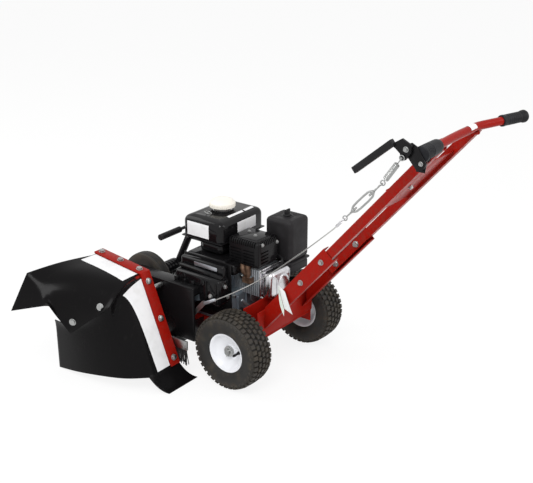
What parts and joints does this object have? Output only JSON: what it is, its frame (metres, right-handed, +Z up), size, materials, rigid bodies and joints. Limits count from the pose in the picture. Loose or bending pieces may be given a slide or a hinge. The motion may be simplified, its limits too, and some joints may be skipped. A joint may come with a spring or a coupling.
{
  "type": "stump grinder",
  "caption": "Walk-behind stump grinder: engine on a two-wheeled deck, belt drive to a side cutter wheel under a rubber hood, gauge wheel and clutch lever.",
  "frame": {"origin": "on the ground, under the middle of the machine's bounding box", "axes": "+X to the operator's right, +Y forwards from the handlebar to the cutting head, +Z up"},
  "size_m": [0.844, 1.1994, 0.847],
  "materials": {
    "red_paint": "gloss paint",
    "black_paint": "semi-gloss black paint",
    "tyre_rubber": "dull black rubber",
    "sheet_rubber": "smooth black rubber sheet with a soft shine",
    "white_paint": "gloss white paint",
    "grip_rubber": "moulded rubber",
    "black_plastic": "moulded plastic",
    "white_plastic": "moulded plastic",
    "red_plastic": "moulded plastic",
    "bare_alloy": "as cast and machined",
    "grey_casting": "painted casting",
    "zinc_steel": "zinc plated",
    "bristle": "stiff black bristles"
  },
  "bodies": {
    "chassis": {"deck_plate": "red_paint", "rear_channel": "red_paint", "left_handle_bracket": "red_paint", "right_handle_bracket": "red_paint", "left_arm_tube": "red_paint", "right_arm_tube": "red_paint", "handlebar_tube": "red_paint", "cross_brace": "red_paint", "head_plate": "red_paint", "arch_strip": "red_paint", "guard_back_plate": "black_paint", "belt_guard": "black_paint", "muffler": "black_paint", "muffler_guard": "black_paint", "fuel_tank": "black_paint", "recoil_cover": "black_paint", "spindle_housing": "black_paint", "head_beam": "black_paint", "lever_bracket": "black_paint", "drive_belt": "tyre_rubber", "hood_top_sheet": "sheet_rubber", "hood_side_sheet": "sheet_rubber", "left_grip": "grip_rubber", "right_grip": "grip_rubber", "air_cleaner_base": "black_plastic", "air_cleaner_cover": "black_plastic", "cylinder": "bare_alloy", "crankcase_cover": "bare_alloy", "carburettor": "bare_alloy", "engine_block": "grey_casting", "axle": "zinc_steel", "rocker_cover": "zinc_steel", "brush_bar": "zinc_steel", "tie_rod": "zinc_steel", "brush": "bristle"},
    "left_wheel": {"left_tyre": "tyre_rubber", "left_rim": "white_paint"},
    "right_wheel": {"right_tyre": "tyre_rubber", "right_rim": "white_paint"},
    "rotor": {"cutter_wheel": "zinc_steel", "rotor_shaft": "zinc_steel", "rotor_pulley": "grey_casting"},
    "crank": {"crankshaft": "zinc_steel", "crank_pulley": "grey_casting", "flywheel": "bare_alloy"},
    "idler": {"idler_arm": "zinc_steel"},
    "idler_roller": {"idler_pulley": "zinc_steel"},
    "lever": {"clutch_lever": "black_paint"},
    "linkage": {"clutch_spring": "zinc_steel", "turnbuckle": "zinc_steel", "clutch_cable": "zinc_steel"},
    "gauge": {"gauge_arm": "black_paint"},
    "gauge_wheel": {"gauge_tyre": "tyre_rubber", "gauge_rim": "black_plastic"},
    "filler_cap": {"fuel_cap": "white_plastic"},
    "cleaner_knob": {"air_cleaner_knob": "black_plastic"},
    "pull_grip": {"starter_grip": "black_plastic"},
    "throttle": {"throttle_lever": "black_plastic"},
    "dipstick": {"oil_dipstick": "black_plastic"},
    "switch": {"engine_switch": "red_plastic"}
  },
  "joints": [
    {"name": "left_wheel_spin", "type": "hinge", "parent": "chassis", "child": "left_wheel", "pos_m": [-0.05466, 0.04776, 0.1143], "axis": [1, 0, 0], "continuous": true},
    {"name": "right_wheel_spin", "type": "hinge", "parent": "chassis", "child": "right_wheel", "pos_m": [0.31334, 0.04776, 0.1143], "axis": [1, 0, 0], "continuous": true},
    {"name": "rotor_spin", "type": "hinge", "parent": "chassis", "child": "rotor", "pos_m": [-0.18266, 0.39776, 0.17], "axis": [1, 0, 0], "continuous": true},
    {"name": "crank_spin", "type": "hinge", "parent": "chassis", "child": "crank", "pos_m": [0.12934, 0.21776, 0.2433], "axis": [1, 0, 0], "continuous": true},
    {"name": "lever_swing", "type": "hinge", "parent": "chassis", "child": "lever", "pos_m": [-0.08986, -0.50524, 0.818], "axis": [1, 0, 0], "range_deg": [0, 130]},
    {"name": "linkage_swing", "type": "hinge", "parent": "lever", "child": "linkage", "pos_m": [-0.10316, -0.49724, 0.797], "axis": [1, 0, 0], "range_deg": [-130, 0]},
    {"name": "idler_swing", "type": "hinge", "parent": "chassis", "child": "idler", "pos_m": [-0.03666, 0.23276, 0.15], "axis": [1, 0, 0], "range_deg": [0, 2.6]},
    {"name": "idler_roller_spin", "type": "hinge", "parent": "idler", "child": "idler_roller", "pos_m": [-0.01316, 0.29776, 0.138], "axis": [1, 0, 0], "continuous": true},
    {"name": "gauge_swing", "type": "hinge", "parent": "chassis", "child": "gauge", "pos_m": [0.15934, 0.35276, 0.158], "axis": [1, 0, 0], "range_deg": [-59, 0]},
    {"name": "gauge_wheel_spin", "type": "hinge", "parent": "gauge", "child": "gauge_wheel", "pos_m": [0.02934, 0.45776, 0.2], "axis": [1, 0, 0], "continuous": true},
    {"name": "filler_cap_turn", "type": "hinge", "parent": "chassis", "child": "filler_cap", "pos_m": [0.14784, 0.24726, 0.45], "axis": [0, 0, 1], "range_deg": [0, 120]},
    {"name": "cleaner_knob_turn", "type": "hinge", "parent": "chassis", "child": "cleaner_knob", "pos_m": [0.23534, 0.06776, 0.437], "axis": [0, 0, 1], "continuous": true},
    {"name": "pull_grip_slide", "type": "slide", "parent": "chassis", "child": "pull_grip", "axis": [0, 1, 0], "range_m": [0, 0.5], "stiffness_N_per_m": 30},
    {"name": "throttle_turn", "type": "hinge", "parent": "chassis", "child": "throttle", "pos_m": [0.16934, 0.27776, 0.333], "axis": [0, 0, 1], "range_deg": [0, 60]},
    {"name": "dipstick_turn", "type": "hinge", "parent": "chassis", "child": "dipstick", "pos_m": [0.06934, 0.11776, 0.1646], "axis": [0, 1, 0], "continuous": true},
    {"name": "switch_turn", "type": "hinge", "parent": "chassis", "child": "switch", "pos_m": [0.15934, 0.29806, 0.2876], "axis": [0, 1, 0], "range_deg": [0, 45]}
  ],
  "couplings": [
    {"joint": "crank_spin", "follows": "rotor_spin", "ratio": 1.3667},
    {"joint": "linkage_swing", "follows": "lever_swing", "ratio": -1},
    {"joint": "idler_swing", "follows": "lever_swing", "ratio": 0.02}
  ]
}
